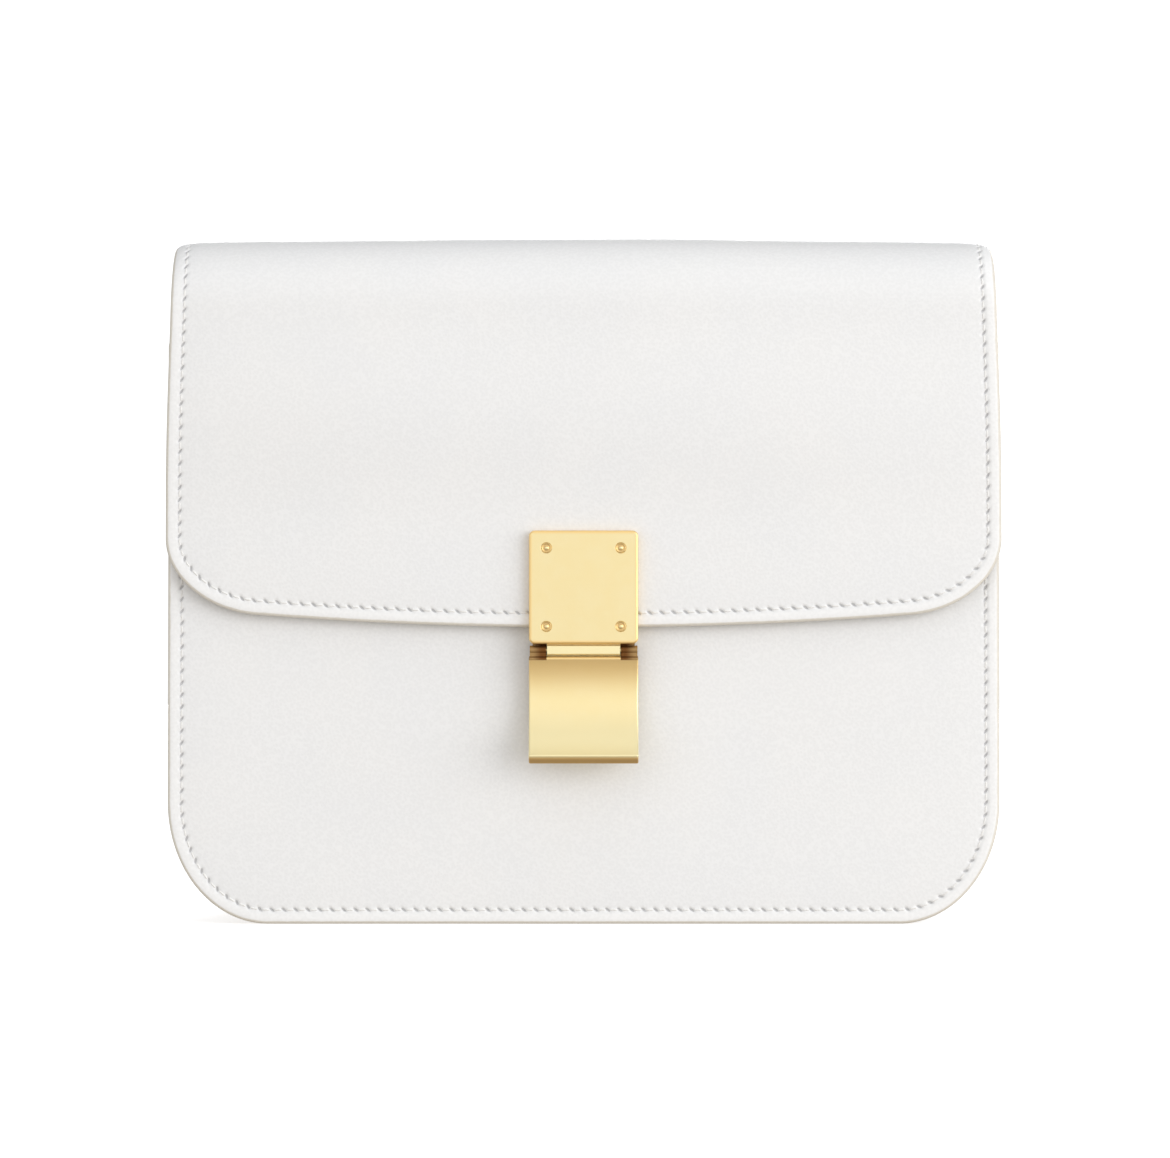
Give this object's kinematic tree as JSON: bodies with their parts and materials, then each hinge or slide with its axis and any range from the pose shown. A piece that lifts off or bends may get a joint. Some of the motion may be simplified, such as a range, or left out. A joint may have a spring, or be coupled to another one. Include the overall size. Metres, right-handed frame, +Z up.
{
  "type": "structured flap box bag with flip clasp",
  "caption": "Structured leather box bag with a fold-over flap, folded side gussets and a flip-lever clasp at the middle of the flap's edge.",
  "frame": {"origin": "on the floor, under the middle of the bag's whole box", "axes": "+X to the bag's left-to-right as seen from the front, +Y from the front to the back, +Z up; the flap and clasp face -Y"},
  "size_m": [0.24, 0.0723, 0.198],
  "materials": {
    "leather": "smooth white box leather, satin",
    "gold": "fine brushed, pale gold"
  },
  "bodies": {
    "bag": {"front_panel": "leather", "gusset": "leather", "back_and_flap": "leather", "clasp_plate": "gold", "clasp_back_plate": "gold", "clasp_rivet_1": "gold", "clasp_rivet_2": "gold", "clasp_rivet_3": "gold", "clasp_rivet_4": "gold", "clasp_pin": "gold", "clasp_keeper": "gold"},
    "lever": {"clasp_lever": "gold"}
  },
  "joints": [
    {"name": "lever_flip", "type": "hinge", "parent": "bag", "child": "lever", "pos_m": [0, -0.02702, 0.07871], "axis": [-1, 0, 0], "range_deg": [0, 80]}
  ]
}
